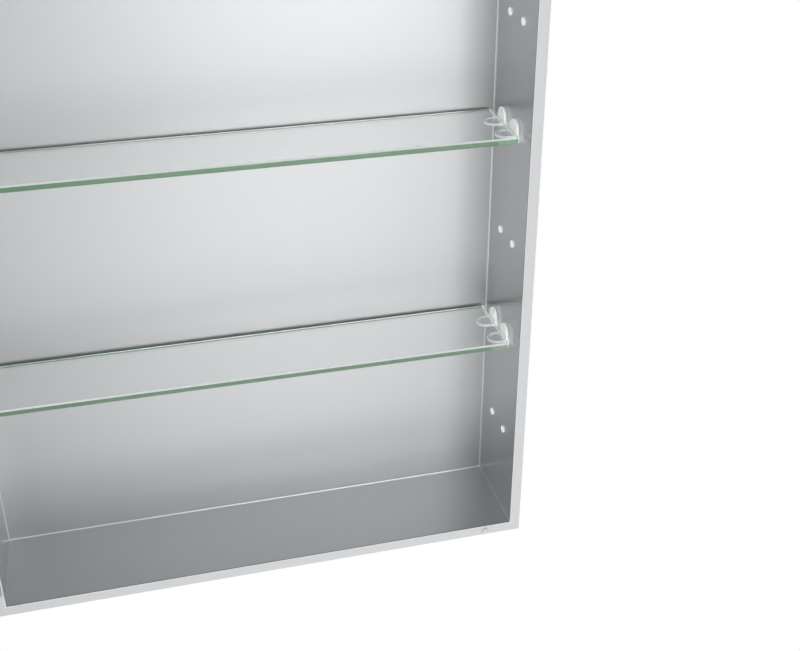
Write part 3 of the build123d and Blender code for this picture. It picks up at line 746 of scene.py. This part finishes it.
def let_light_through(material, tint):
    """Let lamps and soft bounces pass a clear material, so that it casts no dark shadow."""
    tree = material.node_tree
    path = add(tree, "ShaderNodeLightPath")
    clear = add(tree, "ShaderNodeBsdfTransparent", {"Color": (*tint, 1.0)})
    either = maths(tree, "MAXIMUM", path.outputs["Is Shadow Ray"], path.outputs["Is Diffuse Ray"])
    blend = add(tree, "ShaderNodeMixShader", {
        0: either, 1: tree.nodes["Principled BSDF"].outputs[0], 2: clear.outputs[0]})
    tree.links.new(blend.outputs[0], tree.nodes["Material Output"].inputs["Surface"])


# Painted light on the clear clips: a glow laid into their emission stands for their highlights. It is
# brightest on the rounded edges, weaker on the flat leaf and almost none on the flat ledge.
painted_clip_highlight, clip_highlight_in, clip_highlight_out = start_group(
    "painted_clip_highlight", "ShaderNodeTree",
    {
        "Ledge": ("NodeSocketColor", (0.02, 0.021, 0.021, 1.0)),
        "Leaf": ("NodeSocketColor", (0.30, 0.31, 0.31, 1.0)),
        "Edge": ("NodeSocketColor", (0.85, 0.86, 0.86, 1.0)),
    },
    {"Colour": "NodeSocketColor"},
)
edge_sharpness = add(painted_clip_highlight, "ShaderNodeNewGeometry").outputs["Pointiness"]
edge_highlight_share = add(painted_clip_highlight, "ShaderNodeMapRange", {
    "Value": edge_sharpness, "From Min": 0.515, "From Max": 0.57}).outputs["Result"]
clip_normal = add(painted_clip_highlight, "ShaderNodeSeparateXYZ", {
    0: add(painted_clip_highlight, "ShaderNodeTexCoord").outputs["Normal"]})
leaf_glow_share = add(painted_clip_highlight, "ShaderNodeMapRange", {
    "Value": maths(painted_clip_highlight, "ABSOLUTE", clip_normal.outputs["Z"]),
    "From Min": 0.95, "From Max": 0.6}).outputs["Result"]
painted_clip_highlight.links.new(
    mix_colours(painted_clip_highlight, edge_highlight_share,
                mix_colours(painted_clip_highlight, leaf_glow_share, clip_highlight_in["Ledge"], clip_highlight_in["Leaf"]),
                clip_highlight_in["Edge"]),
    clip_highlight_out["Colour"])
# The clips' emission carries the painted highlight and glow laid out above.
clip_plastic = moulded(
    "clip_clear_plastic", (0.93, 0.955, 0.95), (0.97, 0.985, 0.98), roughness=0.09, grain_scale=300.0,
    variation=0.06, bump_strength=0.3,
    IOR=1.49, Transmission_Weight=0.62, Coat_Weight=0.5, Coat_Roughness=0.05,
    Emission_Strength=0.55)
clip_tree = clip_plastic.node_tree
clip_tree.links.new(
    add(clip_tree, "ShaderNodeGroup", node_tree=painted_clip_highlight).outputs["Colour"],
    clip_tree.nodes["Principled BSDF"].inputs["Emission Color"])
let_light_through(clip_plastic, (0.9, 0.92, 0.92))
for side, hand in (("left", -1.0), ("right", 1.0)):
    side_names = [name for name in support_names if f"_{side}_" in name]
    support_places = []
    for name in side_names:
        support_low, support_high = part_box(name)
        inward = Vector((-hand, 0.0, 0.0))
        tip = support_high.x if inward.x > 0 else support_low.x
        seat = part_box("shelf_upper" if "upper" in name else "shelf_lower")[0].z
        middle = (support_low.y + support_high.y) / 2
        support_places.append((Vector((tip - inward.x * support_reach, middle, seat)), inward))
    form = clip_form(hand)
    supports = points_object(f"support_points_{side}", support_places)
    run_tree(supports, clip_set, {"Clip": form, "Finish": clip_plastic})
    settle(f"shelf_supports_{side}", supports, "case", side_names, 75.0)
    bpy.data.objects.remove(form)

# Shelves: 6 mm clear float glass. The long edges are ground flat and polished, and show the green of the
# iron in the glass. The ends and the front's upper arris are left ground, and look frosted; they also glow
# faintly, a painted light. On the ends' arrises the gentler faces carry a painted highlight and the steeper
# ones a painted shade, as does the upper band of the rear face.
arris = 0.0012
arris_steps = 2
arris_profile = 0.35
clear_glass, clear_shader = new_material("shelf_clear_glass")
clear_shader.inputs["Base Color"].default_value = (0.985, 0.995, 0.99, 1.0)
clear_shader.inputs["IOR"].default_value = 1.52
clear_shader.inputs["Transmission Weight"].default_value = 1.0
clear_tree = clear_glass.node_tree
wipe = noise(clear_tree, add(clear_tree, "ShaderNodeTexCoord").outputs["Object"], scale=35.0, detail=4.0)
wipe_haze = 0.06
wiped_clean = -0.034
clear_tree.links.new(
    maths(clear_tree, "MAXIMUM", 0.0, maths(clear_tree, "MULTIPLY_ADD", wipe, wipe_haze, wiped_clean)),
    clear_shader.inputs["Roughness"])
let_light_through(clear_glass, (0.975, 0.985, 0.98))
edge_glass = moulded(
    "shelf_green_edge", (0.21, 0.38, 0.24), (0.32, 0.51, 0.35), roughness=0.16, grain_scale=500.0,
    variation=0.05, bump_strength=0.1,
    IOR=1.52, Transmission_Weight=0.45)
# ground, frosted glass with a faint emission: a painted glow
ground_glowing_glass = moulded(
    "shelf_ground_arris_glow", (0.84, 0.91, 0.87), (0.93, 0.97, 0.95), roughness=0.45, grain_scale=2500.0,
    bump_strength=0.4,
    IOR=1.52, Transmission_Weight=0.25,
    Emission_Color=(0.90, 1.0, 0.96, 1.0), Emission_Strength=0.2)
# the ends' gentler arris faces: a painted highlight, given as emission
end_highlight_glass = moulded(
    "shelf_end_painted_highlight", (0.88, 0.94, 0.91), (0.96, 0.99, 0.97), roughness=0.35, grain_scale=2500.0,
    bump_strength=0.4,
    IOR=1.52, Transmission_Weight=0.1,
    Emission_Color=(0.94, 1.0, 0.98, 1.0), Emission_Strength=0.5)
# painted shade: dark strips on the rear face's upper band and the ends' steeper arris faces
painted_shade_edge_glass = moulded(
    "shelf_edge_painted_shade", (0.08, 0.13, 0.10), (0.15, 0.21, 0.18), roughness=0.12, grain_scale=500.0,
    variation=0.05, bump_strength=0.1,
    IOR=1.52, Transmission_Weight=0.45)
shelf_finishes = (clear_glass, edge_glass, ground_glowing_glass, painted_shade_edge_glass, end_highlight_glass)
# share of the rear face, below its upper arris, darkened as painted shade
shade_band_share = 0.3
square_on = 0.99
mostly_sideways = 0.8
partly_turned = 0.4


def shelf_finish(middle, normal, shade_band_line):
    """Which finish a shelf's face takes, from where it lies and which way it faces."""
    if abs(normal.z) > square_on:
        return clear_glass
    if abs(normal.x) > square_on:
        return ground_glowing_glass
    if abs(normal.x) > partly_turned:
        return painted_shade_edge_glass if abs(normal.x) > mostly_sideways else end_highlight_glass
    if middle.z < shade_band_line or normal.y < -square_on:
        return edge_glass
    return painted_shade_edge_glass if normal.y > partly_turned else ground_glowing_glass


for shelf in ("shelf_lower", "shelf_upper"):
    shelf_low, shelf_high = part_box(shelf)
    form = bmesh.new()
    bmesh.ops.create_cube(form, size=1.0)
    for vertex in form.verts:
        vertex.co = Vector(
            shelf_high[k] if vertex.co[k] > 0 else shelf_low[k] for k in range(3))
    bmesh.ops.bevel(form, geom=list(form.edges), offset=arris, segments=arris_steps,
                    profile=arris_profile, affect="EDGES")
    shade_band_line = shelf_high.z - arris - shade_band_share * (shelf_high.z - shelf_low.z - 2 * arris)
    bmesh.ops.bisect_plane(form, geom=[*form.verts, *form.edges, *form.faces],
                           plane_co=(0.0, 0.0, shade_band_line), plane_no=(0.0, 0.0, 1.0))
    for face in form.faces:
        finish = shelf_finish(face.calc_center_median(), face.normal, shade_band_line)
        face.material_index = shelf_finishes.index(finish)
    mesh = bpy.data.meshes.new(f"{shelf}_form")
    form.to_mesh(mesh)
    form.free()
    for finish in shelf_finishes:
        mesh.materials.append(finish)
    shelf_form = bpy.data.objects.new(f"{shelf}_form", mesh)
    bpy.context.scene.collection.objects.link(shelf_form)
    settle(f"glass_{shelf}", shelf_form, shelf, [shelf], 20.0)

# Bumpers: clear soft domes, stuck on the rim where the door's free side lands.
bumper_gel = moulded(
    "bumper_gel", (0.93, 0.95, 0.95), (0.97, 0.98, 0.98), roughness=0.1, grain_scale=600.0,
    variation=0.05, bump_strength=0.1,
    IOR=1.48, Transmission_Weight=0.55, Coat_Weight=0.4, Coat_Roughness=0.04)
let_light_through(bumper_gel, (0.95, 0.96, 0.96))
finish_nodes(bumper_gel, "bumper_lower", "bumper_upper")

# Catch: a grey-white moulded housing under the top wall, with a ferrite magnet between two zinc-plated
# pole plates and two pan screws through its ears.
catch_plastic = moulded(
    "catch_plastic", (0.66, 0.67, 0.67), (0.72, 0.73, 0.73), roughness=0.42, grain_scale=1200.0,
    variation=0.12, bump_strength=0.25)
ferrite = moulded(
    "ferrite", (0.035, 0.035, 0.038), (0.07, 0.07, 0.075), roughness=0.62, grain_scale=500.0,
    variation=0.2, bump_strength=0.6)
finish_nodes(catch_plastic, "catch_housing")
finish_nodes(ferrite, "catch_magnet")
finish_nodes(plated_zinc, "catch_pole_plates")
set_fasteners("catch_screw_set", "catch_screws", "case", "plated_steel", plated_zinc,
              Shank_Length=0.013, Seed=11, **pan_sizes)

# Hinge: a full-height piano hinge, two leaves of brushed stainless steel rolled round one pin, with
# countersunk screws into the case's rim and the door frame.
open_degrees = next(joint for joint in frame["joints"] if joint["name"] == "door_hinge")["range_deg"][1]
door_turn = -math.radians(open_degrees)
pin_low, pin_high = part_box("hinge_pin")
hinge_axis = Vector(((pin_low.x + pin_high.x) / 2, (pin_low.y + pin_high.y) / 2, 0.0))
door_place = (
    Matrix.Translation(hinge_axis) @ Matrix.Rotation(door_turn, 4, "Z") @ Matrix.Translation(-hinge_axis))
hinge_steel = satin_metal(
    "hinge_brushed", (0.50, 0.50, 0.50), (0.64, 0.64, 0.63), roughness=0.30, line_stretch=upright_lines,
    variation=0.25, bump_strength=0.5)[0]
pin_steel = satin_metal(
    "pin_steel", (0.58, 0.58, 0.58), (0.68, 0.68, 0.68), roughness=0.2, line_stretch=upright_lines,
    variation=0.1)[0]
finish_nodes(hinge_steel, "hinge_leaf_case", "hinge_leaf_door")
finish_nodes(pin_steel, "hinge_pin")
countersunk_sizes = {
    "Countersunk": True, "Head_Radius": 0.0024, "Head_Height": 0.00115, "Shank_Radius": 0.0014,
    "Shank_Length": 0.009, "Recess_Span": 0.0026, "Recess_Width": 0.0006, "Recess_Depth": 0.0009,
}
set_fasteners("hinge_screw_set_case", "hinge_screws_case", "case", "hinge_steel", pin_steel,
              Seed=13, **countersunk_sizes)
set_fasteners("hinge_screw_set_door", "hinge_screws_door", "door", "hinge_steel", pin_steel,
              door_place, Seed=17, **countersunk_sizes)

# Door frame: four hollow aluminium members, mitred and keyed, with the same satin finish as the case.
door_upright = satin_metal(
    "door_satin_upright", case_dark, case_light, case_roughness, upright_lines, case_metallic)[0]
door_level = satin_metal(
    "door_satin_level", case_dark, case_light, case_roughness, level_lines, case_metallic,
    turn=-door_turn)[0]
finish_nodes(door_upright, "door_frame_left", "door_frame_right")
finish_nodes(door_level, "door_frame_top", "door_frame_bottom")

# Mirrors: silvered float glass on both faces of the door, with polished edges that show the glass's
# green. Cleaning leaves the faintest arcs.
door_outward = door_place.to_3x3() @ Vector((0.0, -1.0, 0.0))
faces_outward = 0.9
mirror_roughness = 0.004
smear_gain, smear_drop = 0.05, -0.02
polished_edge_roughness = 0.12


def silvered(name, silver, edge):
    """A mirror whose large faces are silver and whose narrow edges are green glass."""
    material, shader = new_material(name)
    tree = material.node_tree
    shader.inputs["Metallic"].default_value = 1.0
    place = add(tree, "ShaderNodeTexCoord")
    across = add(tree, "ShaderNodeVectorMath", {
        0: place.outputs["Normal"], 1: tuple(door_outward)}, operation="DOT_PRODUCT").outputs["Value"]
    on_face = maths(tree, "GREATER_THAN", maths(tree, "ABSOLUTE", across), faces_outward)
    tree.links.new(mix_colours(tree, on_face, edge, silver), shader.inputs["Base Color"])
    arcs = noise(tree, place.outputs["Object"], scale=14.0, detail=5.0, roughness=0.6)
    smear = maths(tree, "MAXIMUM", mirror_roughness, maths(
        tree, "MULTIPLY_ADD", arcs, smear_gain, smear_drop))
    off_face = maths(tree, "SUBTRACT", 1.0, on_face)
    tree.links.new(
        maths(tree, "MULTIPLY_ADD", off_face, polished_edge_roughness, smear), shader.inputs["Roughness"])
    return material


mirror_silver = silvered("mirror_silver", silver=(0.90, 0.92, 0.91), edge=(0.16, 0.34, 0.25))
finish_nodes(mirror_silver, "front_mirror", "rear_mirror")

# Tapes and core: grey foam tapes bond the mirrors to the frame, and a board of rigid white foam fills
# the space between them.
foam_tape = moulded(
    "foam_tape", (0.42, 0.42, 0.42), (0.55, 0.55, 0.55), roughness=0.85, grain_scale=1100.0,
    bump_strength=0.9)
core_foam = moulded(
    "core_foam", (0.78, 0.77, 0.74), (0.88, 0.87, 0.84), roughness=0.8, grain_scale=900.0,
    bump_strength=0.8)
finish_nodes(foam_tape, "front_mirror_tape", "rear_mirror_tape")
finish_nodes(core_foam, "door_core")

# Strike: a small zinc-plated plate screwed to the door frame, which the catch's poles pull on.
finish_nodes(plated_zinc, "strike_plate")
set_fasteners(
    "strike_screw_set", "strike_screws", "door", "plated_steel", plated_zinc, door_place,
    Head_Radius=0.0028, Head_Height=0.0008, Shank_Radius=0.0015, Shank_Length=0.006,
    Recess_Span=0.0028, Recess_Width=0.0007, Recess_Depth=0.0005, Seed=19)

# Stage: a plain pale floor well below the cabinet, a white surround and soft lights.
low, high = cad_bounds
floor_drop = 0.60
floor_half = 7.0
floor_z = low.z - floor_drop
floor_mesh = bpy.data.meshes.new("floor")
floor_mesh.from_pydata(
    [(x * floor_half, y * floor_half, floor_z) for x, y in ((-1, -1), (1, -1), (1, 1), (-1, 1))],
    [], [(0, 1, 2, 3)])
floor = bpy.data.objects.new("floor", floor_mesh)
bpy.context.scene.collection.objects.link(floor)
floor_paint, floor_shader = new_material("floor_paint")
floor_shader.inputs["Base Color"].default_value = (0.92, 0.92, 0.92, 1.0)
floor_shader.inputs["Roughness"].default_value = 0.9
floor_mesh.materials.append(floor_paint)
floor_tree = floor_paint.node_tree
floor_seen = add(floor_tree, "ShaderNodeMixShader", {
    0: add(floor_tree, "ShaderNodeLightPath").outputs["Is Camera Ray"],
    1: floor_shader.outputs[0],
    2: add(floor_tree, "ShaderNodeEmission").outputs[0],
})
floor_tree.links.new(floor_seen.outputs[0], floor_tree.nodes["Material Output"].inputs["Surface"])

world = bpy.data.worlds.new("studio")
world.use_nodes = True
bpy.context.scene.world = world
studio = world.node_tree
studio_air = studio.nodes["Background"]
studio_air.inputs["Color"].default_value = (1.0, 1.0, 1.0, 1.0)
studio_air.inputs["Strength"].default_value = 0.45
studio_paper = add(studio, "ShaderNodeBackground", {"Color": (1.0, 1.0, 1.0, 1.0), "Strength": 1.0})
studio_seen = add(studio, "ShaderNodeMixShader", {
    0: add(studio, "ShaderNodeLightPath").outputs["Is Camera Ray"],
    1: studio_air.outputs[0],
    2: studio_paper.outputs[0],
})
studio.links.new(studio_seen.outputs[0], studio.nodes["World Output"].inputs["Surface"])

# The camera's place is measured from the corner where the right and bottom walls meet the back panel,
# and the lamps' places from the middle of that panel, which they face.
inner_corner = Vector((inner_x, panel_front, -inner_z))
interior = Vector((0.0, panel_front, 0.0))
# Each lamp's power follows from how brightly it lights the cabinet and how far away it stands.
main_light = 1.0
weak_light = 0.4
soft_lights = {
    # name: (offset from the panel's middle, size, brightness at the cabinet)
    "middle_front": ((0.15, -1.5, 0.3), 0.5, main_light),
    "right_front": ((0.6, -1.4, 0.3), 0.6, main_light),
    "right_low": ((0.6, -1.9, -0.2), 0.6, weak_light),
    "low_front": ((0.3, -1.7, -0.5), 1.0, main_light),
    "low_close": ((0.2, -0.9, -0.7), 0.8, main_light),
    "left_low": ((-0.5, -0.8, -0.3), 0.5, weak_light),
}
for name, (offset, size, brightness) in soft_lights.items():
    lamp = bpy.data.lights.new(name, "AREA")
    lamp.size = size
    lamp.energy = brightness * Vector(offset).length_squared
    lamp_object = bpy.data.objects.new(name, lamp)
    lamp_object.location = interior + Vector(offset)
    lamp_object.rotation_euler = (-Vector(offset)).to_track_quat("-Z", "Y").to_euler()
    bpy.context.scene.collection.objects.link(lamp_object)

bpy.context.scene.view_settings.view_transform = "Standard"

# Camera: close in front of the cabinet's lower right, above it and a little left, looking down.
camera_data = bpy.data.cameras.new("camera")
camera_data.sensor_width = 36.0
camera_data.lens = 53.6
camera_data.clip_start = 0.05
camera = bpy.data.objects.new("camera", camera_data)
camera.location = inner_corner + Vector((-0.3473, -0.9889, 0.7615))
camera_down = math.radians(29.36)
camera_right = math.radians(14.65)
camera.rotation_euler = (math.pi / 2 - camera_down, 0.0, -camera_right)
bpy.context.scene.collection.objects.link(camera)
bpy.context.scene.camera = camera
